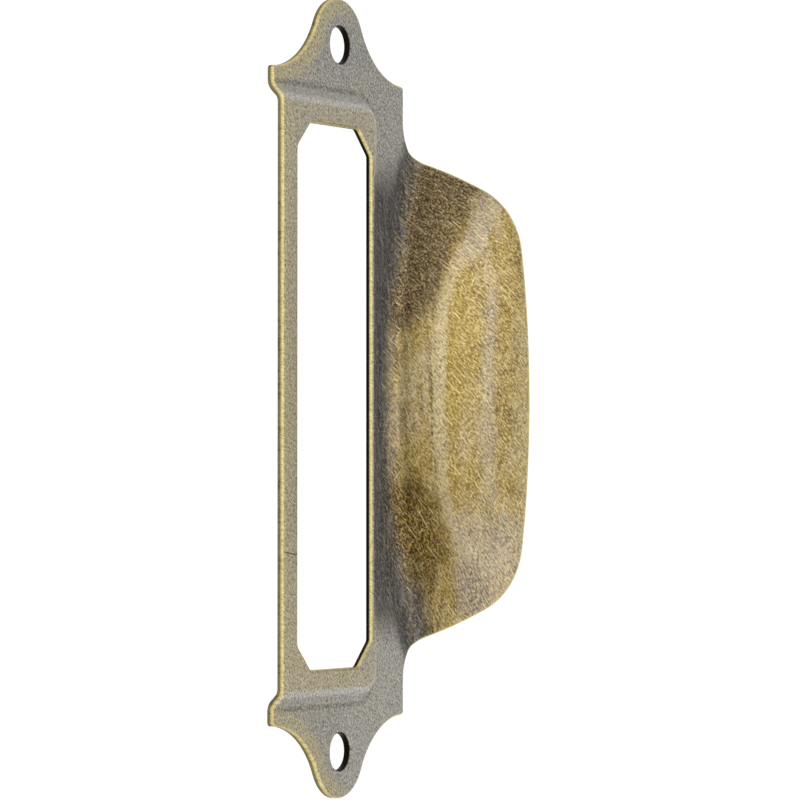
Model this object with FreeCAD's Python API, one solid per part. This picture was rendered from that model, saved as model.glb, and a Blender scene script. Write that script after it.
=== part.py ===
import FreeCAD, Part
import math
import os

from FreeCAD import Vector

# Label frame pull pressed from one sheet of brass.
# It is drawn flat on its back: x runs along the pull, y up the drawer front, z out of it.
# At the end it is stood up, with its front to -Y, so that Z is up on the drawer.
# Sizes are in mm and angles in degrees.

sheet = 0.8               # thickness of the brass
edge_break = 0.35         # rounding of the outer edges in front
opening_break = 0.25      # chamfer of the window and the screw holes in front

frame_rise = 1.25         # room for the card behind the frame
frame_length = 66.4       # between the feet of the two end steps
frame_drop = 7.3          # from the screw line down to the foot of the lower step
step_angle = 45.0
bend_radius = 0.9         # inside radius of the two bends in the step
frame_corner = 1.5        # plan radius of the raised face

plate_width = 27.0        # between the two long edges
ear_land = 1.55           # flat plate between an end step and the points where the ear begins
tip_radius = 0.4          # softening of those points
hole_reach = 3.35         # from those points out to the screw's centre
hole_dia = 4.0
lobe_radius = 5.0         # rounded end of each ear, about its hole

end_bar = 1.81            # flat bar of the raised frame at each end of the window
upper_bar = 2.9           # bar above the window
lower_bar = 0.41          # bar below the window, down to the lower step
window_corner = 2.75      # length cut off each corner, along both sides
window_round = 0.5        # softening of its eight corners

arch_radius = 65.0        # plan radius of the line where the cup leaves the plate
valley = 0.9              # flat strip between the lower step and that line, at mid length
root_radius = 2.1         # hollow bend in front, where the cup leaves the plate
cup_angle = 77.0          # steepest slope of the cup
cup_radius = 22.0         # outside radius of its rounded face

tongue_inset = 6.15       # from the ears' points in to the foot of the tongue
tongue_drop = 25.4        # from the screw line down to the lip, measured on the flat sheet
tongue_slope = 50.0       # slope of the tongue's sides
tongue_root = 5.0         # radius from the plate's edge into the tongue's side
tongue_corner = 9.0       # radius from the tongue's side into the lip
trim_reach = 0.6          # how far the trimming face stands past both faces of the sheet
lip_spare = 1.5           # length of cup past the lip, which the trimming takes off

plate_length = frame_length + 2 * ear_land
hole_spacing = plate_length + 2 * hole_reach   # 76.2, the trade's three inches
tongue_foot = plate_length - 2 * tongue_inset  # width of the tongue where it leaves the plate's edge
half_width = plate_width / 2
half_length = plate_length / 2
ear = hole_spacing / 2
foot = tongue_foot / 2
arch_drop = frame_drop + valley
axis_y = -arch_drop - arch_radius
out = Vector(0, 0, 1)
mid = Vector(0, 0, 0)
along = Vector(1, 0, 0)


def arc(point, start, end):
    """Arc through point(start) and point(end), where point turns an angle into a place."""
    return Part.Arc(point(start), point((start + end) / 2), point(end)).toShape()


def around(centre, radius):
    """Places on a circle in plan, by their angle."""
    def point(angle):
        turn = math.radians(angle)
        return centre + Vector(math.cos(turn), math.sin(turn), 0) * radius
    return point


def corner(before, at, after, radius):
    """Rounds the corner of a plan outline: start, middle and end of the arc."""
    to_before = (before - at).normalize()
    to_after = (after - at).normalize()
    half = to_before.getAngle(to_after) / 2
    start = at + to_before * (radius / math.tan(half))
    end = at + to_after * (radius / math.tan(half))
    middle = at + (to_before + to_after).normalize() * (radius / math.sin(half) - radius)
    return start, middle, end


def rounded_chain(points, radii):
    """Straight edges with an arc at each inner point; the two end points stay as they are."""
    edges = []
    last = points[0]
    for before, at, after, radius in zip(points, points[1:], points[2:], radii):
        start, middle, end = corner(before, at, after, radius)
        edges.append(Part.makeLine(last, start))
        edges.append(Part.Arc(start, middle, end).toShape())
        last = end
    edges.append(Part.makeLine(last, points[-1]))
    return edges


def plate_of(edges, low, high):
    """Flat sheet between two heights, inside a closed plan outline."""
    face = Part.Face(Part.Wire(Part.__sortEdges__(edges)))
    face.translate(out * low)
    return face.extrude(out * (high - low))


# Flat blank: two ears, a straight upper edge, and a tongue on the lower edge

scallop = (hole_reach ** 2 + half_width ** 2 - lobe_radius ** 2) / (2 * (lobe_radius + hole_reach))
scallop_turn = math.degrees(math.atan2(half_width, scallop - hole_reach))


def ear_edges(side):
    """Rounded end and the two hollow shoulders of the ear on one side, +1 or -1."""
    def place(edge):
        if side > 0:
            return edge
        return edge.mirror(mid, along)
    upper = around(Vector(half_length + scallop, half_width, 0), scallop)
    lower = around(Vector(half_length + scallop, -half_width, 0), scallop)
    lobe = around(Vector(ear, 0, 0), lobe_radius)
    shapes = [arc(lobe, -scallop_turn, scallop_turn),
              arc(upper, 180, 180 + scallop_turn),
              arc(lower, 180, 180 - scallop_turn)]
    return [place(shape) for shape in shapes]


lip = foot - (tongue_drop - half_width) / math.tan(math.radians(tongue_slope))
tongue_points = [Vector(x, y, 0)
                 for x, y in ((-half_length, -half_width), (-foot, -half_width), (-lip, -tongue_drop),
                              (lip, -tongue_drop), (foot, -half_width), (half_length, -half_width))]
tongue_edges = rounded_chain(tongue_points, [tongue_root, tongue_corner, tongue_corner, tongue_root])
upper_edge = Part.makeLine(Vector(-half_length, half_width, 0), Vector(half_length, half_width, 0))
blank = plate_of(ear_edges(1) + ear_edges(-1) + tongue_edges + [upper_edge], 0, sheet)
tips = [edge for edge in blank.Edges
        if abs(edge.BoundBox.ZLength - sheet) < 1e-6 and abs(abs(edge.BoundBox.XMin) - half_length) < 1e-6]
blank = blank.makeFillet(tip_radius, tips)

# Raised frame: a step round three sides, with the upper edge left open for the card

turn = math.radians(step_angle)
bends = 2 * bend_radius + sheet
ramp = (frame_rise - bends * (1 - math.cos(turn))) / math.sin(turn)
step_run = bends * math.sin(turn) + ramp * math.cos(turn)
foot_corner = frame_corner + step_run


def step_profile(place):
    """Section through the step, where place turns (distance in from the foot, height) into a place."""
    def low(radius):
        return lambda angle: place(radius * math.sin(math.radians(angle)),
                                   sheet + bend_radius - radius * math.cos(math.radians(angle)))

    def high(radius):
        return lambda angle: place(step_run - radius * math.sin(math.radians(angle)),
                                   frame_rise - bend_radius + radius * math.cos(math.radians(angle)))
    front = [low(bend_radius), high(bend_radius + sheet)]
    back = [low(bend_radius + sheet), high(bend_radius)]
    edges = [Part.makeLine(front[0](0), back[0](0)), Part.makeLine(front[1](0), back[1](0))]
    for lower, upper in (front, back):
        edges += [arc(lower, 0, step_angle), Part.makeLine(lower(step_angle), upper(step_angle)),
                  arc(upper, step_angle, 0)]
    return Part.Face(Part.Wire(Part.__sortEdges__(edges)))


def frame_outline(inset, radius):
    """Edges of the frame's plan outline, moved in from the foot of the step."""
    side = frame_length / 2 - inset
    points = [Vector(-side, half_width, 0), Vector(-side, inset - frame_drop, 0),
              Vector(side, inset - frame_drop, 0), Vector(side, half_width, 0)]
    return rounded_chain(points, [radius, radius]) + [Part.makeLine(points[3], points[0])]


straight = frame_length / 2 - foot_corner
turn_y = foot_corner - frame_drop
raised = plate_of(frame_outline(step_run, frame_corner), frame_rise, frame_rise + sheet)
under_frame = plate_of(frame_outline(0, foot_corner), 0, sheet)
lower_step = step_profile(lambda d, z: Vector(-straight, d - frame_drop, z))
lower_step = lower_step.extrude(along * 2 * straight)
end_step = step_profile(lambda d, z: Vector(frame_length / 2 - d, turn_y, z))
end_step = end_step.extrude(Vector(0, half_width - turn_y, 0))
step_turn = step_profile(lambda d, z: Vector(straight, d - frame_drop, z))
step_turn = step_turn.revolve(Vector(straight, turn_y, 0), out, 90)
one_side = [end_step, step_turn]
other_side = [shape.mirror(mid, along) for shape in one_side]

# Finger cup: a bent strip turned about the centre of its arch, then trimmed to the tongue

rise = math.radians(cup_angle)
root_length = root_radius * rise
crown_r = arch_radius - (root_radius + cup_radius) * math.sin(rise)
crown_z = sheet + root_radius - (root_radius + cup_radius) * math.cos(rise)


def cup_point(distance, depth):
    """Radius and height in the cup's section, from the distance along its front and the depth under it."""
    if distance <= 0:
        return arch_radius - distance, sheet - depth
    if distance <= root_length:
        bend = distance / root_radius
        radius = root_radius + depth
        return arch_radius - radius * math.sin(bend), sheet + root_radius - radius * math.cos(bend)
    bend = rise - (distance - root_length) / cup_radius
    radius = cup_radius - depth
    return crown_r + radius * math.sin(bend), crown_z + radius * math.cos(bend)


def cup_place(azimuth, distance, depth):
    """Place on the cup, with azimuth in radians about the arch's centre."""
    radius, z = cup_point(distance, depth)
    return Vector(radius * math.sin(azimuth), axis_y + radius * math.cos(azimuth), z)


overrun = tongue_drop - arch_drop + lip_spare


def section_edges(depth):
    """The cup's root bend and rounded face in section, at a depth under the front."""
    def point(distance):
        return cup_place(0, distance, depth)
    return [arc(point, 0, root_length), arc(point, root_length, overrun)]


section = section_edges(0) + section_edges(sheet)
section += [Part.makeLine(cup_place(0, d, 0), cup_place(0, d, sheet)) for d in (0, overrun)]
swing = math.degrees(math.asin(half_length / arch_radius))
strip = Part.Face(Part.Wire(Part.__sortEdges__(section)))
strip.rotate(Vector(0, axis_y, 0), out, -swing)
cup = strip.revolve(Vector(0, axis_y, 0), out, 2 * swing)


arch_disc = Part.Face(Part.Wire(Part.makeCircle(arch_radius, Vector(0, axis_y, 0))))
tongue_wire = Part.Wire(Part.__sortEdges__(tongue_edges))
tongue_parts = tongue_wire.common(arch_disc).Edges + tongue_wire.cut(arch_disc).Edges
tongue_trail = sorted({(round(point.x, 7), round(point.y, 7)) for edge in tongue_parts
                       for point in edge.discretize(Number=3 + int(edge.Length / 3))})
trail_steps = [0.0]
for (x, y), (next_x, next_y) in zip(tongue_trail, tongue_trail[1:]):
    trail_steps.append(trail_steps[-1] + math.hypot(next_x - x, next_y - y))


def trim_curve(depth):
    """The tongue's free edge carried from the flat sheet to the cup, at a depth under its front."""
    places = []
    for x, y in tongue_trail:
        azimuth = math.atan2(x, y - axis_y)
        places.append(cup_place(azimuth, arch_radius - math.hypot(x, y - axis_y), depth))
    curve = Part.BSplineCurve()
    curve.interpolate(Points=places, Parameters=trail_steps)
    return curve.toShape()


trim = Part.makeRuledSurface(trim_curve(-trim_reach), trim_curve(sheet + trim_reach))
kept = cup_place(0, root_length, sheet / 2)
cup = [piece for piece in cup.generalFuse([trim])[0].Solids if piece.isInside(kept, 1e-3, False)][0]

# One sheet, with its outer edges rounded in front and left sharp behind


def normal_at(face, point):
    """Outward direction of a face at a place on it."""
    u, v = face.Surface.parameter(point)
    return face.normalAt(u, v)


def front_rims(shape):
    """Edges where two faces stand square to each other and neither looks to the back."""
    rims = []
    for edge in shape.Edges:
        faces = shape.ancestorsOfType(edge, Part.Face)
        middle = edge.valueAt((edge.FirstParameter + edge.LastParameter) / 2)
        normals = [normal_at(face, middle) for face in faces]
        square = len(faces) == 2 and normals[0].getAngle(normals[1]) > 1
        if square and min(normal.z for normal in normals) > -0.1:
            rims.append(edge)
    return rims


arch = Part.makeCylinder(arch_radius, 3 * sheet, Vector(0, axis_y, -sheet))
base = blank.cut(arch).cut(under_frame)
pull = base.multiFuse([cup, raised, lower_step] + one_side + other_side, 1e-4).removeSplitter()
pull = pull.makeFillet(edge_break, front_rims(pull))

# Window and screw holes, whose rims are then the only square ones in front

window_length = frame_length - 2 * (step_run + end_bar)
window_width = half_width - upper_bar + frame_drop - step_run - lower_bar
window_rise = half_width - upper_bar - window_width / 2   # its middle, above the screw line
side = window_length / 2
top = window_rise + window_width / 2
low = window_rise - window_width / 2
short_side = side - window_corner
window_points = [Vector(x, y, 0)
                 for x, y in ((short_side, top), (side, top - window_corner),
                              (side, low + window_corner), (short_side, low),
                              (-short_side, low), (-side, low + window_corner),
                              (-side, top - window_corner), (-short_side, top))]
through = frame_rise + 2 * sheet
window = Part.Face(Part.makePolygon(window_points + window_points[:1])).extrude(out * through)
uprights = [edge for edge in window.Edges if abs(edge.BoundBox.ZLength - through) < 1e-6]
window = window.makeFillet(window_round, uprights)
holes = [Part.makeCylinder(hole_dia / 2, 3 * sheet, Vector(x, 0, -sheet)) for x in (ear, -ear)]
pull = pull.cut(window).cut(holes[0]).cut(holes[1])
pull = pull.makeChamfer(opening_break, front_rims(pull))

pull.rotate(mid, along, 90)
os.makedirs("parts", exist_ok=True)
pull.exportStep("parts/label_frame_pull.step")
print("solids", len(pull.Solids), "valid", pull.isValid(), "volume in mm3", round(pull.Volume, 1))
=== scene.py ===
import math

import bpy
import numpy as np
from mathutils import Matrix, Vector
from mathutils.geometry import delaunay_2d_cdt
from mathutils.kdtree import KDTree


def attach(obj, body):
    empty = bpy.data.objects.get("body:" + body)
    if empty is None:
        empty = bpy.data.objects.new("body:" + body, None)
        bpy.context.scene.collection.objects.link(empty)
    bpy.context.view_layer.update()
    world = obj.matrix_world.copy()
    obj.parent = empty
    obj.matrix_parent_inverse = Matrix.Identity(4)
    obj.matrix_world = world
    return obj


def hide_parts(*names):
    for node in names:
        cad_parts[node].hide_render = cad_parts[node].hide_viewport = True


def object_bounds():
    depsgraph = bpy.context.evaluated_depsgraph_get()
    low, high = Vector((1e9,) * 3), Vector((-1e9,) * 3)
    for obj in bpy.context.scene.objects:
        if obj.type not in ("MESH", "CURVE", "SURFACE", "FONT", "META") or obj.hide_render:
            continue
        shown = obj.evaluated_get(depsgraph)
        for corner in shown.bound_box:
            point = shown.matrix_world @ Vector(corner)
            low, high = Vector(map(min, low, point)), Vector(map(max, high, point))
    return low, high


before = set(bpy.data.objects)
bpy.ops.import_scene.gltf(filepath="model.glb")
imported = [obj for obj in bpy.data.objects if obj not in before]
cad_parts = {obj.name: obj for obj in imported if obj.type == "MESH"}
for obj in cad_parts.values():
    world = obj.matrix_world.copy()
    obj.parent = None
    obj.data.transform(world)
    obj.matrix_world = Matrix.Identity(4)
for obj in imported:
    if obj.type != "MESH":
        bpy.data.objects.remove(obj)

bounds_at_load = [list(corner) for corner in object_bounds()]

# Label frame pull, pressed from one sheet of brass and finished as antique brass.
# The sheet is laid out flat in mm, x along the pull and y up the drawer front,
# then pressed to the solid's own form and stood up in the row frame, in metres.

# Sizes of the pressing, the same as the solid's

sheet = 0.8
edge_break = 0.35
opening_break = 0.25
frame_rise = 1.25
frame_length = 66.4
frame_drop = 7.3
step_angle = 45.0
bend_radius = 0.9
frame_corner = 1.5
plate_width = 27.0
ear_land = 1.55
tip_radius = 0.4
hole_reach = 3.35
hole_dia = 4.0
lobe_radius = 5.0
end_bar = 1.81
upper_bar = 2.9
lower_bar = 0.41
window_corner = 2.75
window_round = 0.5
arch_radius = 65.0
valley = 0.9
root_radius = 2.1
cup_angle = 77.0
cup_radius = 22.0
tongue_inset = 6.15
tongue_drop = 25.4
tongue_slope = 50.0
tongue_root = 5.0
tongue_corner = 9.0

# Spacing of the mesh, in mm where it is a length

arc_spacing = 0.05         # along an arc, before its outline is walked in even steps
rim_spacing = 0.25
face_spacing = 0.42
bend_spacing = 0.17
row_ratio = 0.866          # height of an even triangle to its side
rim_clearance = 0.8        # share of the rim spacing that is kept free beside the borders
rim_rings = 6              # rings round a rounded edge
chamfer_softening = 0.15   # share of a chamfer that is eased at each of its two edges
softening_fall = 0.6       # how far an eased edge falls, as a share of that
join_within = 1e-6
sharp_angle = 50           # degrees, past which an edge is shaded sharp

half_width = plate_width / 2
half_length = frame_length / 2 + ear_land
ear = half_length + hole_reach
foot = half_length - tongue_inset
lip = foot - (tongue_drop - half_width) / math.tan(math.radians(tongue_slope))
axis_y = -(frame_drop + valley) - arch_radius
turn = math.radians(step_angle)
bends = 2 * bend_radius + sheet
ramp = (frame_rise - bends * (1 - math.cos(turn))) / math.sin(turn)
step_run = bends * math.sin(turn) + ramp * math.cos(turn)
foot_corner = frame_corner + step_run
scallop = (hole_reach ** 2 + half_width ** 2 - lobe_radius ** 2) / (2 * (lobe_radius + hole_reach))
scallop_turn = math.atan2(half_width, scallop - hole_reach)
cup_rise = math.radians(cup_angle)
root_length = root_radius * cup_rise
crown_r = arch_radius - (root_radius + cup_radius) * math.sin(cup_rise)
crown_z = sheet + root_radius - (root_radius + cup_radius) * math.cos(cup_rise)


# Outlines of the flat sheet

def arc(centre, radius, start, end):
    """Points along an arc, by its angles in radians."""
    count = 2 + int(abs(end - start) * radius / arc_spacing)
    angles = np.linspace(start, end, count)
    return np.stack([centre[0] + radius * np.cos(angles), centre[1] + radius * np.sin(angles)], axis=1)


def rounded(points, radii):
    """Points along a chain of straight stretches, with an arc at each inner corner."""
    points = [np.array(point, float) for point in points]
    stretches = [points[:1]]
    for before, at, after, radius in zip(points, points[1:], points[2:], radii):
        to_before = (before - at) / np.linalg.norm(before - at)
        to_after = (after - at) / np.linalg.norm(after - at)
        half = math.acos(to_before @ to_after) / 2
        middle = (to_before + to_after) / np.linalg.norm(to_before + to_after)
        centre = at + middle * radius / math.sin(half)
        ends = [at + side * radius / math.tan(half) - centre for side in (to_before, to_after)]
        start, end = (math.atan2(place[1], place[0]) for place in ends)
        end = start + (end - start + math.pi) % (2 * math.pi) - math.pi
        stretches.append(arc(centre, radius, start, end))
    stretches.append(points[-1:])
    return np.concatenate(stretches)


def even_loop(points):
    """A closed outline, walked in even steps."""
    closed = np.concatenate([points, points[:1]])
    lengths = np.concatenate([[0], np.cumsum(np.linalg.norm(np.diff(closed, axis=0), axis=1))])
    stations = np.linspace(0, lengths[-1], 1 + int(lengths[-1] / rim_spacing))[:-1]
    return np.stack([np.interp(stations, lengths, closed[:, axis]) for axis in (0, 1)], axis=1)


def outer_outline():
    """The blank's outer edge, walked with the sheet on the left."""
    tip = half_length - tip_radius
    start = math.asin(tip_radius / scallop)
    upper = (half_length + scallop, half_width)
    lower = (half_length + scallop, -half_width)
    tongue = rounded([(tip, -half_width), (foot, -half_width), (lip, -tongue_drop), (0, -tongue_drop)],
                     [tongue_root, tongue_corner])
    half = np.concatenate([
        [(0, half_width)],
        arc((tip, half_width - tip_radius), tip_radius, math.pi / 2, 0),
        arc(upper, scallop, math.pi + start, math.pi + scallop_turn),
        arc((ear, 0), lobe_radius, scallop_turn, -scallop_turn),
        arc(lower, scallop, math.pi - scallop_turn, math.pi - start),
        arc((tip, tip_radius - half_width), tip_radius, 0, -math.pi / 2),
        tongue])
    other_half = half[::-1] * (-1, 1)
    return even_loop(np.concatenate([half, other_half[1:-1]])[::-1])


def window_outline():
    """The window, walked with the sheet on the left."""
    side = frame_length / 2 - step_run - end_bar
    top = half_width - upper_bar
    low = step_run + lower_bar - frame_drop
    short = side - window_corner
    corners = [(short, top), (side, top - window_corner), (side, low + window_corner), (short, low),
               (-short, low), (-side, low + window_corner), (-side, top - window_corner), (-short, top)]
    chain = [(0, top)] + corners + [(0, top)]
    return even_loop(rounded(chain, [window_round] * len(corners))[:-1])


def hole_outline(x):
    """A screw hole, walked with the sheet on the left."""
    return even_loop(arc((x, 0), hole_dia / 2, 2 * math.pi, 0)[:-1])


def inset(loop, distance):
    """A loop moved into the sheet."""
    along = np.roll(loop, -1, axis=0) - np.roll(loop, 1, axis=0)
    along /= np.linalg.norm(along, axis=1)[:, None]
    return loop + distance * np.stack([-along[:, 1], along[:, 0]], axis=1)


# The press: from a place on the flat sheet to its place on the pull

def frame_inset(x, y):
    """Distance in from the foot of the step round the raised frame."""
    side = frame_length / 2 - np.abs(x)
    low = y + frame_drop
    corner = foot_corner - np.hypot(foot_corner - side, foot_corner - low)
    in_corner = (side < foot_corner) & (low < foot_corner)
    return np.where(in_corner, corner, np.minimum(side, low))


def step_height(distance, low_radius, high_radius):
    """Height of one face of the sheet across the step."""
    low_end = low_radius * math.sin(turn)
    high_end = step_run - high_radius * math.sin(turn)
    low_z = sheet + bend_radius - low_radius * math.cos(turn)
    high_z = frame_rise - bend_radius + high_radius * math.cos(turn)
    at = np.clip(distance, 0, step_run)
    low_bend = sheet + bend_radius - np.sqrt(np.maximum(low_radius ** 2 - at ** 2, 0))
    high_bend = frame_rise - bend_radius + np.sqrt(np.maximum(high_radius ** 2 - (step_run - at) ** 2, 0))
    slope = low_z + (at - low_end) * (high_z - low_z) / (high_end - low_end)
    return np.where(at < low_end, low_bend, np.where(at > high_end, high_bend, slope))


def cup_distance(x, y):
    """Distance past the arch where the cup leaves the plate, measured on the flat sheet."""
    return arch_radius - np.hypot(x, y - axis_y)


def press(flat, depth):
    """Places in the row frame of points on the flat sheet, at a depth in mm under the front."""
    x, y = flat[:, 0], flat[:, 1]
    step = frame_inset(x, y)
    front = step_height(step, bend_radius, bend_radius + sheet)
    back = step_height(step, bend_radius + sheet, bend_radius)
    plate = np.stack([x, y, front + (back - front) * depth / sheet], axis=1)
    distance = cup_distance(x, y)
    azimuth = np.arctan2(x, y - axis_y)
    bend = np.clip(distance, 0, root_length) / root_radius
    root_r = arch_radius - (root_radius + depth) * np.sin(bend)
    root_z = sheet + root_radius - (root_radius + depth) * np.cos(bend)
    lean = cup_rise - np.maximum(distance - root_length, 0) / cup_radius
    face_r = crown_r + (cup_radius - depth) * np.sin(lean)
    face_z = crown_z + (cup_radius - depth) * np.cos(lean)
    in_root = distance < root_length
    radius = np.where(in_root, root_r, face_r)
    cup = np.stack([radius * np.sin(azimuth), axis_y + radius * np.cos(azimuth),
                    np.where(in_root, root_z, face_z)], axis=1)
    pressed = np.where((distance > 0)[:, None], cup, plate)
    return np.stack([pressed[:, 0], -pressed[:, 2], pressed[:, 1]], axis=1) / 1000


# Where the finish is worn, dark or golden, and where highlights and shade are painted into it, from 0 to
# about 1.
# Places are in mm: x and y on the flat sheet, step in from the foot of the step round the frame,
# and cup past the arch where the cup leaves the plate. The two ends of the cup aren't alike.

ridge_at = 7.1             # the line on the cup where its face turns over, drawn as a painted highlight
ridge_swing = 3.5          # how much further down that line lies at the cup's ends
# where a second painted highlight runs along the cup, in mm past the arch
second_ridge_at = 12.3
hip_start = 8.0            # half length of the cup's middle, past which its ends keep more patina and carry painted shade
hip_end = 24.0
valley_edge = 0.2          # the darkest line of the valley's patina and painted shade
wall_start = 0.3           # depth at which an edge's bright rounding, worn and painted as a highlight, gives way to its wall, darkened with painted shade
front_end = 0.6            # depth past which the finish is that of the back

# Spots on the cup: x and cup of the middle, and the reach along both
lower_hip_spot = (-14.2, 3.6, 5.8, 3.4)
smudge_spot = (-19.6, 8.8, 3.2, 2.0)
grey_spot = (0.5, 3.8, 4.5, 1.8)
upper_gold_spot = (6.6, 4.6, 1.8, 1.2)
lower_gold_spot = (-6.5, 4.6, 3.4, 2.0)


def ease(value, low, high):
    """0 below low, 1 above high, and a soft rise between them."""
    share = np.clip((value - low) / (high - low), 0, 1)
    return share * share * (3 - 2 * share)


def band(value, middle, width):
    """1 at middle, fading over a width to both sides."""
    return np.exp(-((value - middle) / width) ** 2)


def spot(x, y, at_x, at_y, reach_x, reach_y):
    """1 in the middle of an oval, fading to its border and past it."""
    return np.exp(-(((x - at_x) / reach_x) ** 2 + ((y - at_y) / reach_y) ** 2))


def beside_cup(x, y):
    """1 along the frame's long lower side, and 0 at its two ends."""
    return ease(frame_length / 2 - np.abs(x) - y - frame_drop, 0, 4)


def plate_zones(x, y, step, cup, rim):
    """The ears and the raised frame: worn edges, a paler lower end with a painted highlight, a painted sheen
    on the step's slope, painted shade in its crease and a painted highlight on its upper bend.
    """
    along = np.abs(x)
    at_ends = 1 - beside_cup(x, y)
    worn_edge = 1 - ease(rim, 0.4, 3.2)
    worn_end = 0.8 * band(-x, 27, 6)
    return {"worn": np.maximum(worn_edge, worn_end) * ease(y, -5, 2),
            # a paler lower end, with a painted highlight laid over it
            "pale": ease(-x, 22, 29) * (1 - ease(y, -4, 3)) * (1 - ease(cup, -2, 0)),
            "raised": ease(step, 1.6, 2.3),
            # painted sheen on the step's slope, painted shade in its crease, and a painted highlight on its
            # upper bend
            "slope": band(step, 1.0, 0.7) * at_ends,
            "crease_shade": band(step, 0.15, 0.3) * at_ends,
            "bend": band(step, 1.75, 0.4) * ease(along, 19, 26)}


def hollow_zone(x, y, step, cup):
    """The dark valley between the frame and the cup, the step above it, and the cup's lower end: patina kept
    there, darkened further with painted shade.
    """
    along = np.abs(x)
    middle = 1 - ease(along, 19, 28)
    dark_width = 0.9 + ease(along, 8, 19)
    plate_side = np.maximum(ease(cup, -2.5, valley_edge), middle)
    valley_floor = np.where(cup < valley_edge, plate_side, band(cup, valley_edge, dark_width))
    valley_floor = valley_floor * ease(-step, -0.4, 0.1)
    # painted shade on the step along the frame's long lower side
    under_frame = ease(step, -1.0, 0.2) * (1 - ease(step, 2.1, 2.7)) * beside_cup(x, y) * middle
    low_end = 0.8 * ease(-x, 17, 22) * ease(cup, -1, 0.5) * (1 - ease(cup, 2, 4.5))
    return np.maximum.reduce([valley_floor, under_frame, low_end])


def cup_zones(x, cup):
    """The cup: gold, painted highlights along its ridge lines, lip, root and corners, grey streaks and
    smudges, and the dark hips at its two ends, partly patina and partly painted shade.
    """
    along = np.abs(x)
    ridge = ridge_at + ridge_swing * ease(along, hip_start, hip_end)
    past_ridge = cup - ridge
    first_ridge = band(cup, ridge - 0.2, 0.75) * (1 - ease(along, 14, 20))
    second_ridge = band(cup, second_ridge_at, 0.95) * (1 - ease(along, 9, 17))
    root_sheen = band(cup, 1.5, 0.65) * (1 - ease(along, 10, 17))
    upper_corner = ease(x, 11, 17) * ease(past_ridge, -1.5, 0.3) * (1 - ease(past_ridge, 0.9, 3.4))
    lower_corner = 0.85 * ease(-x, 6, 16) * ease(cup, 6.0, 8.5)
    upper_hip = ease(x - 0.5 * cup, 3.5, 9.5) * (1 - ease(past_ridge, -4.0, 1.5)) * ease(cup, 0.0, 2.4)
    gold_line = band(cup, ridge_at + 1.5, 0.8) * (1 - ease(along, 9, 14))
    return {"gilt": ease(cup, -0.5, 2.2),
            "riser": band(cup, 3.8, 2.6),
            "pitted": band(cup, ridge_at - 0.9, 0.35) * (1 - ease(np.abs(x + 1), 6, 10)),
            "gold": np.maximum.reduce([gold_line, spot(x, cup, *upper_gold_spot),
                                       0.8 * spot(x, cup, *lower_gold_spot)]),
            # the hips: more patina at the cup's ends, with painted shade
            "upper_hip": np.maximum(upper_hip, 0.24 * band(cup, 1.8, 1.2)),
            "lower_hip": 1.15 * spot(x, cup, *lower_hip_spot),
            # painted sheen at the cup's corners, on the second ridge and at the root, with a grey spot
            "lilac_sheen_and_grey_spot": np.maximum.reduce([upper_corner, lower_corner, 0.7 * second_ridge, 0.35 * root_sheen,
                                        0.4 * spot(x, cup, *grey_spot)]),
            # a dark smudge, and the painted sheen at the root and the upper corner dimmed
            "smudge_and_dimmed_sheen": np.maximum.reduce([spot(x, cup, *smudge_spot), 0.75 * root_sheen,
                                         0.35 * upper_corner]),
            # painted highlights on the first ridge line and near the lip
            "ridge_highlights": np.maximum(first_ridge, 0.6 * ease(cup, 13.5, 17))}


def edge_zones(x, y, depths, rim, opening):
    """The bright line along the edges, worn and also a painted highlight, the painted shade on the walls
    behind it, and the near-black painted shade on the walls of the openings.
    """
    at_hole = np.abs(x) > frame_length / 2
    past_rim = rim - depths + 0.3 - 0.25 * ease(-y, 0, 10)
    rubbed_width = np.where(past_rim > 0, 0.26 + 0.12 * ease(y, -10, -4), 0.27)
    outer_rim = band(past_rim, 0, rubbed_width) * (1 - ease(depths, wall_start, 0.5))
    opening_rim = (1 - ease(opening - depths, -0.1, 0.3)) * (1 - ease(depths, 0.28, 0.38))
    opening_rim = opening_rim * (1 - 0.7 * at_hole)
    bore_start = np.where(at_hole, 0.02, 0.3)
    # edges worn bright, with a painted highlight on their rounding
    return {"rubbed_edge_and_highlight": np.maximum(outer_rim, opening_rim),
            # painted shade on the outer cut walls
            "cut": ease(depths, wall_start, 0.48) * (rim < 0.01),
            # near-black painted shade on the walls of the window and the holes
            "bore_shade": ease(depths, bore_start, bore_start + 0.12) * (opening < opening_break)}


def finish_zones(flats, depths, rim, opening):
    """All zones at points of the flat sheet; rim and opening are distances in from the cut edges."""
    x, y = flats[:, 0], flats[:, 1]
    step = frame_inset(x, y)
    cup = cup_distance(x, y)
    front = 1 - ease(depths, wall_start, front_end)
    seen = {**plate_zones(x, y, step, cup, rim), **cup_zones(x, cup), "hollow": hollow_zone(x, y, step, cup)}
    zones = {name: share * front for name, share in seen.items()}
    zones["back"] = 1 - front
    zones["gilt"] += 0.6 * ease(cup, -1, 8) * (1 - front)
    return {**zones, **edge_zones(x, y, depths, rim, opening)}


# The mesh of the pressed sheet

def inside(points, loops):
    """True for points in the sheet, by the crossings of a ray with the outlines."""
    crossings = np.zeros(len(points), int)
    for loop in loops:
        for (x0, y0), (x1, y1) in zip(loop, np.roll(loop, -1, axis=0)):
            if y0 != y1:
                between = (points[:, 1] > min(y0, y1)) & (points[:, 1] <= max(y0, y1))
                at = x0 + (points[:, 1] - y0) * (x1 - x0) / (y1 - y0)
                crossings += between & (at > points[:, 0])
    return crossings % 2 == 1


def near(loops):
    """A search tree of the points of some outlines."""
    places = np.concatenate(loops)
    tree = KDTree(len(places))
    for index, (x, y) in enumerate(places):
        tree.insert((x, y, 0), index)
    tree.balance()
    return tree


def distance_to(tree, points):
    """Distance of each point from the nearest one in a search tree."""
    return np.array([tree.find((x, y, 0))[2] for x, y in points])


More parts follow.
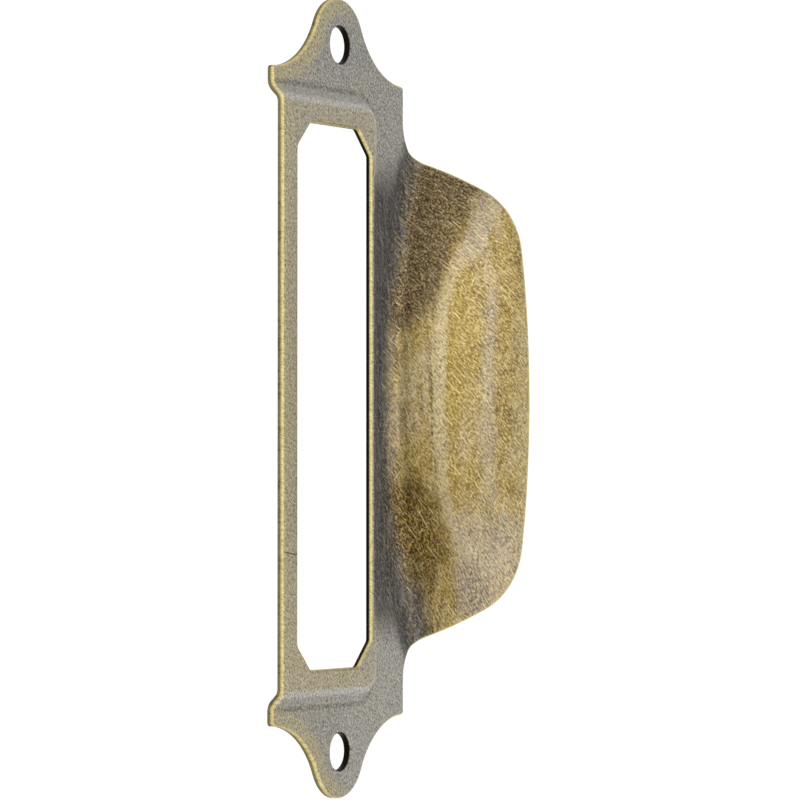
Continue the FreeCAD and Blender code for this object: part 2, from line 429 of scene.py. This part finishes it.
def face_points():
    """Points inside the sheet: even rows on the flats, closer rows along the bends."""
    rows = np.arange(-half_width, half_width, face_spacing * row_ratio)
    columns = np.arange(-ear - lobe_radius, ear + lobe_radius, face_spacing)
    x, y = np.meshgrid(columns, rows)
    x[1::2] += face_spacing / 2
    flat = np.stack([x.ravel(), y.ravel()], axis=1)
    step = frame_inset(flat[:, 0], flat[:, 1])
    on_step = (step > -bend_spacing) & (step < step_run + bend_spacing)
    flat = flat[~on_step & (cup_distance(flat[:, 0], flat[:, 1]) < -bend_spacing)]
    sets = [flat]
    for distance in np.linspace(0, step_run, 1 + int(step_run / bend_spacing)):
        side = frame_length / 2 - distance
        low = distance - frame_drop
        path = rounded([(-side, half_width), (-side, low), (side, low), (side, half_width)],
                       [foot_corner - distance] * 2)
        lengths = np.concatenate([[0], np.cumsum(np.linalg.norm(np.diff(path, axis=0), axis=1))])
        stations = np.arange(face_spacing / 2, lengths[-1], face_spacing)
        sets.append(np.stack([np.interp(stations, lengths, path[:, axis]) for axis in (0, 1)], axis=1))
    root_rows = np.linspace(0, root_length, 1 + int(root_length / bend_spacing))
    cup_rows = np.arange(root_length + face_spacing, tongue_drop, face_spacing)
    for index, distance in enumerate(np.concatenate([root_rows, cup_rows])):
        radius = arch_radius - distance
        reach = math.asin(min(1, half_length / radius))
        angles = np.arange(-reach + (index % 2) * face_spacing / radius / 2, reach, face_spacing / radius)
        sets.append(np.stack([radius * np.sin(angles), axis_y + radius * np.cos(angles)], axis=1))
    return np.concatenate(sets)


def rim_steps(rounding):
    """Inset and depth of the rings from the front face round the rim to the back."""
    angles = np.radians(np.linspace(0, 90, rim_rings))
    rings = [(rounding * (1 - math.sin(a)), rounding * (1 - math.cos(a))) for a in angles]
    return rings + [(0, (rounding + sheet) / 2), (0, sheet)]


def chamfer_steps(chamfer):
    """The same for a chamfered opening, with the chamfer's two edges eased."""
    soft = chamfer * chamfer_softening
    fall = soft * softening_fall
    rings = [(chamfer + soft, 0), (chamfer - soft, fall), (fall, chamfer - soft), (0, chamfer + soft)]
    return rings + [(0, (chamfer + sheet) / 2), (0, sheet)]


def pressed_sheet():
    """Mesh of the whole pull, with where each point lies kept as attributes for the finish."""
    outer = outer_outline()
    openings = [window_outline(), hole_outline(ear), hole_outline(-ear)]
    loops = [outer] + openings
    profiles = [rim_steps(edge_break)] + [chamfer_steps(opening_break)] * len(openings)
    borders = [inset(loop, profile[0][0]) for loop, profile in zip(loops, profiles)]
    points = face_points()
    points = points[inside(points, borders)]
    points = points[distance_to(near(borders), points) > rim_spacing * rim_clearance]
    flat = np.concatenate(borders + [points])
    edges = []
    first = 0
    for border in borders:
        edges += [(first + i, first + (i + 1) % len(border)) for i in range(len(border))]
        first += len(border)
    corners = [Vector(point) for point in flat]
    _, _, triangles, came_from, _, _ = delaunay_2d_cdt(corners, edges, [], 0, join_within)
    triangles = np.array([[came_from[i][0] for i in triangle] for triangle in triangles])
    triangles = triangles[inside(flat[triangles].mean(axis=1), borders)]

    count = len(flat)
    flats = [flat, flat]
    depths = [np.zeros(count), np.full(count, sheet)]
    faces = [tuple(t) for t in triangles] + [tuple(t[::-1] + count) for t in triangles]
    first = 0
    start = 2 * count
    for loop, profile in zip(loops, profiles):
        size = len(loop)
        rings = [first + np.arange(size)]
        for distance, depth in profile[1:]:
            flats.append(inset(loop, distance))
            depths.append(np.full(size, depth))
            rings.append(start + np.arange(size))
            start += size
        rings.append(count + first + np.arange(size))
        for upper, lower in zip(rings, rings[1:]):
            faces += zip(upper, lower, np.roll(lower, -1), np.roll(upper, -1))
        first += size
    flats = np.concatenate(flats)
    depths = np.concatenate(depths)

    mesh = bpy.data.meshes.new("label_frame_pull_sheet")
    mesh.from_pydata(press(flats, depths).tolist(), [], [[int(i) for i in face] for face in faces])
    mesh.shade_smooth()
    mesh.set_sharp_from_angle(angle=math.radians(sharp_angle))
    rim = distance_to(near([outer]), flats)
    opening = distance_to(near(openings), flats)
    for name, values in finish_zones(flats, depths, rim, opening).items():
        mesh.attributes.new(name, "FLOAT", "POINT").data.foreach_set("value", values.astype(np.float32))
    flat_places = np.column_stack([flats, depths]).astype(np.float32)
    mesh.attributes.new("flat", "FLOAT_VECTOR", "POINT").data.foreach_set("vector", flat_places.ravel())
    piece = bpy.data.objects.new("pressed_sheet", mesh)
    bpy.context.scene.collection.objects.link(piece)
    return piece


# Materials

def linear(colour):
    """Linear colour from an sRGB hex value."""
    parts = [int(colour[i:i + 2], 16) / 255 for i in (1, 3, 5)]
    return [p / 12.92 if p <= 0.04045 else ((p + 0.055) / 1.055) ** 2.4 for p in parts] + [1.0]


def node(tree, kind, settings=(), links=()):
    """Adds a node, sets its properties and inputs, and links other sockets to its inputs."""
    made = tree.nodes.new(kind)
    for name, value in dict(settings).items():
        if isinstance(name, str) and hasattr(made, name):
            setattr(made, name, value)
        else:
            made.inputs[name].default_value = value
    for name, source in dict(links).items():
        tree.links.new(source, made.inputs[name])
    return made


# Blotches of the patina, by their size in mm
patina_grain = {"cloud": 8.0, "patch": 4.0, "mottle": 1.6, "fleck": 0.6, "speck": 0.26}

# Marks of the tumbling: length and width in mm, and direction on the flat sheet in degrees.
# Real ones are finer, and are drawn as wide as a picture of the whole pull can show.
tumbling_marks = {"grit": (0.34, 0.13, 44), "nick": (0.55, 0.16, 38), "bright": (1.3, 0.14, 50),
                  "dull": (1.0, 0.15, 56), "long": (3.0, 0.15, 42), "cross": (2.0, 0.14, -30),
                  "streak": (4.0, 0.45, 4), "strip": (10.0, 1.8, 0), "smear": (4.5, 0.6, 3)}
mark_shift = 70            # lengths by which each kind of mark is moved, so that no two repeat each other

hairline_lean = (1.0, -0.13, 0.0)   # across a hairline crack in the upper bar
hairline_at = 18.2                  # its distance from the origin that way, in mm
zone_start = 0.1           # share of a zone at which its tone begins to show
zone_full = 0.85
patina_roughness = 0.42
hollow_roughness = 0.25    # added in the hollows
mottle_roughness = 0.2     # added in blotches
scratch_depth = 0.00006    # metres
scratch_strength = 0.35


def antique_brass():
    """Brass, blackened in a bath and tumbled with grit.

    The patina stays grey on the flats and dark in the hollows, with painted shade laid over it there, the
    cup is worn back to a golden brown, the edges are bright, partly worn and partly a painted highlight,
    painted highlights and sheen lie on the step, the cup's ridge lines and corners, the walls are darkened
    with painted shade, and short scratches lie all over it.
    """
    material = bpy.data.materials.new("antique_brass_tumbled")
    material.use_nodes = True
    tree = material.node_tree
    tree.nodes.clear()

    zone_names = ("back", "worn", "pale", "raised", "slope", "crease_shade", "bend", "gilt", "riser", "pitted",
                  "gold", "upper_hip", "lower_hip", "lilac_sheen_and_grey_spot", "smudge_and_dimmed_sheen", "hollow", "ridge_highlights", "rubbed_edge_and_highlight",
                  "cut", "bore_shade")
    zone = {name: node(tree, "ShaderNodeAttribute", {"attribute_name": name}).outputs["Fac"]
            for name in zone_names}
    flat = node(tree, "ShaderNodeAttribute", {"attribute_name": "flat"}).outputs["Vector"]
    grain = {name: node(tree, "ShaderNodeTexNoise", {"Scale": 1 / size, "Detail": 3.0, "Roughness": 0.6},
                        {"Vector": flat}).outputs["Fac"] for name, size in patina_grain.items()}
    for name, (length, width, direction) in tumbling_marks.items():
        lay = node(tree, "ShaderNodeMapping",
                   {"vector_type": "TEXTURE", "Location": (length * mark_shift, 0, 0),
                    "Rotation": (0, 0, math.radians(direction)), "Scale": (length, width, 1)},
                   {"Vector": flat})
        grain[name] = node(tree, "ShaderNodeTexNoise", {"Scale": 1.0, "Detail": 1.0, "Distortion": 0.5},
                           {"Vector": lay.outputs["Vector"]}).outputs["Fac"]
    across = node(tree, "ShaderNodeVectorMath", {"operation": "DOT_PRODUCT", 1: hairline_lean}, {0: flat})
    across = node(tree, "ShaderNodeMath", {"operation": "ADD", 1: hairline_at}, {0: across.outputs["Value"]})
    across = node(tree, "ShaderNodeMath", {"operation": "ABSOLUTE"}, {0: across.outputs[0]})
    grain["hairline"] = across.outputs[0]

    def laid(colour, layers):
        """Layers over a colour: zone, the grain that breaks its border, by how much, strength and tone."""
        for name, breaking, reach, strength, tone in layers:
            broken = node(tree, "ShaderNodeMath", {"operation": "MULTIPLY_ADD", 1: reach, 2: 1 - reach / 2},
                          {0: grain[breaking]})
            share = node(tree, "ShaderNodeMath", {"operation": "MULTIPLY"},
                         {0: broken.outputs[0], 1: zone[name]})
            share = node(tree, "ShaderNodeMapRange",
                         {"From Min": zone_start, "From Max": zone_full, "To Max": strength,
                          "interpolation_type": "SMOOTHSTEP"}, {"Value": share.outputs[0]})
            colour = node(tree, "ShaderNodeMix", {"data_type": "RGBA", 7: linear(tone)},
                          {0: share.outputs["Result"], 6: colour}).outputs[2]
        return colour

    def marked(colour, marks):
        """Marks over a colour: zone or none, their grain, the range it is read over, strength and tone."""
        for name, kind, low, high, strength, tone in marks:
            share = node(tree, "ShaderNodeMapRange", {"From Min": low, "From Max": high, "To Max": strength},
                         {"Value": grain[kind]}).outputs["Result"]
            if name:
                share = node(tree, "ShaderNodeMath", {"operation": "MULTIPLY"},
                             {0: share, 1: zone[name]}).outputs[0]
            colour = node(tree, "ShaderNodeMix", {"data_type": "RGBA", 7: linear(tone)},
                          {0: share, 6: colour}).outputs[2]
        return colour

    colour = node(tree, "ShaderNodeMix", {"data_type": "RGBA", 6: linear("#85868b"), 7: linear("#9e9990")},
                  {0: grain["cloud"]}).outputs[2]
    colour = laid(colour, (
        ("back", "patch", 1.0, 0.6, "#877e6b"),
        ("worn", "patch", 0.8, 0.75, "#b1a57f"),
        # a paler lower end, with a painted highlight laid over it
        ("pale", "patch", 0.8, 0.7, "#a3a09c"),
        ("raised", "patch", 0.8, 0.6, "#b0a488"),
        # painted sheen on the step's slope, painted shade in its crease, and a painted highlight on its
        # upper bend
        ("slope", "fleck", 0.4, 0.75, "#a8a6a6"),
        ("crease_shade", "fleck", 0.8, 0.55, "#55534e"),
        ("bend", "mottle", 1.0, 0.7, "#c0beb8")))
    colour = marked(colour, (
        ("back", "cloud", 0.50, 0.64, 0.5, "#69624f"),
        ("back", "mottle", 0.54, 0.68, 0.4, "#6a6354"),
        ("back", "patch", 0.48, 0.34, 0.5, "#a2977c"),
        (None, "grit", 0.52, 0.67, 0.48, "#d6d0ba"),
        (None, "grit", 0.48, 0.33, 0.62, "#403d39"),
        (None, "speck", 0.45, 0.32, 0.6, "#4a4743"),
        (None, "speck", 0.56, 0.68, 0.4, "#d9d0b4"),
        (None, "dull", 0.60, 0.70, 0.35, "#4d4535"),
        ("raised", "hairline", 0.11, 0.03, 0.9, "#453f36")))
    colour = laid(colour, (
        ("gilt", "mottle", 0.6, 1.0, "#9f874b"),))
    colour = marked(colour, (
        ("gilt", "cloud", 0.52, 0.64, 0.6, "#8c7230"),
        ("gilt", "cloud", 0.46, 0.34, 0.45, "#988b7d"),
        ("gilt", "patch", 0.53, 0.64, 0.65, "#6b5632"),
        ("gilt", "strip", 0.53, 0.70, 0.5, "#806a3a"),
        ("gilt", "strip", 0.46, 0.32, 0.5, "#b9aa94"),
        ("gilt", "mottle", 0.54, 0.68, 0.45, "#6f5a34"),
        ("gilt", "mottle", 0.46, 0.33, 0.4, "#bfae82"),
        ("riser", "smear", 0.54, 0.66, 0.5, "#55452b"),
        ("riser", "smear", 0.48, 0.36, 0.6, "#c6b490")))
    # painted highlights on the ridge lines and lip, and painted sheen at the corners and root, dimmed in
    # part by the smudge tone
    colour = laid(colour, (
        ("ridge_highlights", "patch", 1.4, 0.6, "#c3b594"),
        ("lilac_sheen_and_grey_spot", "mottle", 1.8, 0.75, "#aea08f"),
        ("smudge_and_dimmed_sheen", "mottle", 1.8, 0.6, "#6b6168"),
        ("gold", "patch", 1.8, 0.65, "#9c833c")))
    colour = marked(colour, (
        ("lilac_sheen_and_grey_spot", "patch", 0.52, 0.66, 0.4, "#80756c"),
        ("gilt", "fleck", 0.55, 0.68, 0.25, "#cbb77e"),
        ("gilt", "fleck", 0.45, 0.32, 0.3, "#54452d"),
        ("gilt", "nick", 0.56, 0.68, 0.4, "#d6c48c"),
        ("gilt", "nick", 0.44, 0.32, 0.4, "#4e4029"),
        ("gilt", "grit", 0.53, 0.68, 0.5, "#e6d8a2"),
        ("gilt", "grit", 0.47, 0.32, 0.5, "#3a2e1e"),
        ("riser", "fleck", 0.36, 0.30, 0.7, "#241c14"),
        ("pitted", "smear", 0.52, 0.62, 0.4, "#4a3c26"),
        ("pitted", "nick", 0.44, 0.34, 0.7, "#2e2418")))
    # the hips and the valley: patina, darkened further with painted shade
    colour = laid(colour, (
        ("upper_hip", "patch", 1.8, 0.9, "#463b2f"),
        ("lower_hip", "patch", 1.8, 0.9, "#47351a"),
        ("hollow", "mottle", 1.0, 0.85, "#4c4c50")))
    colour = marked(colour, (
        ("upper_hip", "mottle", 0.52, 0.66, 0.6, "#705c38"),
        ("upper_hip", "fleck", 0.54, 0.66, 0.55, "#8f784a"),
        ("upper_hip", "nick", 0.57, 0.68, 0.6, "#bea068"),
        ("upper_hip", "nick", 0.44, 0.34, 0.45, "#2b231a"),
        ("upper_hip", "grit", 0.54, 0.66, 0.5, "#ae9463"),
        ("upper_hip", "grit", 0.46, 0.34, 0.5, "#2b231a"),
        ("upper_hip", "speck", 0.54, 0.66, 0.6, "#cdb796"),
        ("upper_hip", "speck", 0.46, 0.34, 0.6, "#1f1813"),
        ("lower_hip", "mottle", 0.52, 0.66, 0.65, "#71561f"),
        ("lower_hip", "fleck", 0.54, 0.66, 0.6, "#937632"),
        ("lower_hip", "nick", 0.57, 0.68, 0.65, "#d0ae57"),
        ("lower_hip", "nick", 0.44, 0.34, 0.6, "#2b2014"),
        ("lower_hip", "grit", 0.54, 0.66, 0.5, "#bb9a4e"),
        ("lower_hip", "grit", 0.46, 0.34, 0.5, "#2b2014"),
        ("lower_hip", "speck", 0.54, 0.66, 0.6, "#d3b46a"),
        ("lower_hip", "speck", 0.46, 0.34, 0.6, "#1f170c"),
        ("hollow", "streak", 0.53, 0.70, 0.5, "#8d8d93"),
        ("hollow", "streak", 0.46, 0.32, 0.4, "#2b2b2e"),
        ("hollow", "speck", 0.52, 0.66, 0.5, "#a8a39c"),
        ("hollow", "nick", 0.58, 0.68, 0.45, "#b9ae97"),
        ("gilt", "long", 0.66, 0.74, 0.4, "#e9dca6"),
        ("gilt", "cross", 0.69, 0.76, 0.4, "#e6d9a8"),
        (None, "bright", 0.62, 0.72, 0.35, "#ddd2a3"),
        (None, "long", 0.66, 0.75, 0.4, "#e4d8aa"),
        (None, "cross", 0.70, 0.78, 0.4, "#d9cea6")))
    # the edges, worn bright and painted as a highlight
    colour = laid(colour, (
        ("rubbed_edge_and_highlight", "fleck", 1.4, 0.9, "#d2c283"),))
    colour = marked(colour, (
        ("rubbed_edge_and_highlight", "grit", 0.52, 0.66, 0.35, "#efe6bd"),
        ("rubbed_edge_and_highlight", "grit", 0.48, 0.34, 0.4, "#8a7b4c")))
    # painted shade on the outer cut walls, and near-black painted shade on the walls of the window and holes
    colour = laid(colour, (
        ("cut", "grit", 1.2, 0.85, "#7b724a"),
        ("bore_shade", "fleck", 0.2, 1.0, "#17130c")))
    colour = marked(colour, (
        ("cut", "fleck", 0.47, 0.36, 0.6, "#3d371f"),))

    roughness = node(tree, "ShaderNodeMath",
                     {"operation": "MULTIPLY_ADD", 1: hollow_roughness, 2: patina_roughness},
                     {0: zone["hollow"]})
    roughness = node(tree, "ShaderNodeMath", {"operation": "MULTIPLY_ADD", 1: mottle_roughness},
                     {0: grain["mottle"], 2: roughness.outputs[0]})
    relief = node(tree, "ShaderNodeMath", {"operation": "SUBTRACT"}, {0: grain["grit"], 1: grain["bright"]})
    bump = node(tree, "ShaderNodeBump", {"Strength": scratch_strength, "Distance": scratch_depth},
                {"Height": relief.outputs[0]})
    surface = node(tree, "ShaderNodeBsdfPrincipled", {"Metallic": 1.0},
                   {"Base Color": colour, "Roughness": roughness.outputs[0],
                    "Normal": bump.outputs["Normal"]})
    node(tree, "ShaderNodeOutputMaterial", {}, {"Surface": surface.outputs["BSDF"]})
    return material


pull = pressed_sheet()
pull.data.materials.append(antique_brass())
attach(pull, "root")
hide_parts("label_frame_pull")

# Floor, light and camera. The pull hangs on a drawer front, so the floor is well below it.

floor_drop = 0.6           # below the pull, in metres
floor_size = 6.0
floor_lift = 0.48          # added to the floor where it is seen, so that it is as white as the room
room_light = 0.55          # strength of the room as a light
room_white = 1.0           # and as it is seen
white = (1, 1, 1, 1)


def seen_or_reflected(tree):
    """1 for what the eye sees, straight or in metal or glass, and 0 for light falling on the object."""
    path = node(tree, "ShaderNodeLightPath").outputs
    seen = node(tree, "ShaderNodeMath", {"operation": "MAXIMUM"},
                {0: path["Is Camera Ray"], 1: path["Is Glossy Ray"]})
    seen = node(tree, "ShaderNodeMath", {"operation": "MAXIMUM"},
                {0: seen.outputs[0], 1: path["Is Transmission Ray"]})
    return seen.outputs[0]


def white_floor():
    """Matt white, brought up to full white for the eye and for reflections, and keeping the shadow."""
    material = bpy.data.materials.new("matt_white_floor")
    material.use_nodes = True
    tree = material.node_tree
    tree.nodes.clear()
    lift = node(tree, "ShaderNodeMath", {"operation": "MULTIPLY", 1: floor_lift},
                {0: seen_or_reflected(tree)})
    glow = node(tree, "ShaderNodeEmission", {"Color": white}, {"Strength": lift.outputs[0]})
    matt = node(tree, "ShaderNodeBsdfDiffuse", {"Color": linear("#f4f4f2")})
    both = node(tree, "ShaderNodeAddShader", {}, {0: matt.outputs[0], 1: glow.outputs[0]})
    node(tree, "ShaderNodeOutputMaterial", {}, {"Surface": both.outputs[0]})
    return material


floor_mesh = bpy.data.meshes.new("floor")
floor_z = bounds_at_load[0][2] - floor_drop
reach = floor_size / 2
floor_mesh.from_pydata([(-reach, -reach, floor_z), (reach, -reach, floor_z), (reach, reach, floor_z),
                        (-reach, reach, floor_z)], [], [(0, 1, 2, 3)])
floor = bpy.data.objects.new("floor", floor_mesh)
floor_mesh.materials.append(white_floor())
bpy.context.scene.collection.objects.link(floor)


def white_world():
    """A plain pale room, full white for the eye and for reflections."""
    world = bpy.data.worlds.new("pale_room")
    bpy.context.scene.world = world
    world.use_nodes = True
    tree = world.node_tree
    tree.nodes.clear()
    level = node(tree, "ShaderNodeMapRange", {"To Min": room_light, "To Max": room_white},
                 {"Value": seen_or_reflected(tree)})
    sky = node(tree, "ShaderNodeBackground", {"Color": white}, {"Strength": level.outputs[0]})
    node(tree, "ShaderNodeOutputWorld", {}, {"Surface": sky.outputs[0]})


white_world()


def soft_light(name, place, size, power):
    """A square soft box that looks at the pull's origin, in metres and watts."""
    lamp = bpy.data.lights.new(name, "AREA")
    lamp.size = size
    lamp.energy = power
    holder = bpy.data.objects.new(name, lamp)
    holder.location = place
    holder.rotation_mode = "QUATERNION"
    holder.rotation_quaternion = (-Vector(place)).to_track_quat("-Z", "Y")
    bpy.context.scene.collection.objects.link(holder)


soft_light("key", place=(0.35, -0.55, 0.75), size=0.5, power=2.0)
soft_light("fill", place=(-0.6, -0.5, 0.2), size=0.6, power=1.0)

camera_place = Vector((-0.0106, -0.2246, 0.3683))
camera_aim = Vector((0.0, -0.0008, -0.0126))
camera_up = Vector((1, 0, 0))   # the photograph stands the pull on its end
camera_lens = 180.0
camera_sensor = 36.0
nearest_seen = 0.01
furthest_seen = 20.0

camera = bpy.data.objects.new("camera", bpy.data.cameras.new("camera"))
back = (camera_place - camera_aim).normalized()
right = camera_up.cross(back).normalized()
turned = Matrix((right, back.cross(right), back)).transposed().to_4x4()
camera.matrix_world = Matrix.Translation(camera_place) @ turned
camera.data.lens = camera_lens
camera.data.sensor_width = camera_sensor
camera.data.clip_start = nearest_seen
camera.data.clip_end = furthest_seen
bpy.context.scene.collection.objects.link(camera)
bpy.context.scene.camera = camera
bpy.context.scene.view_settings.view_transform = "Standard"
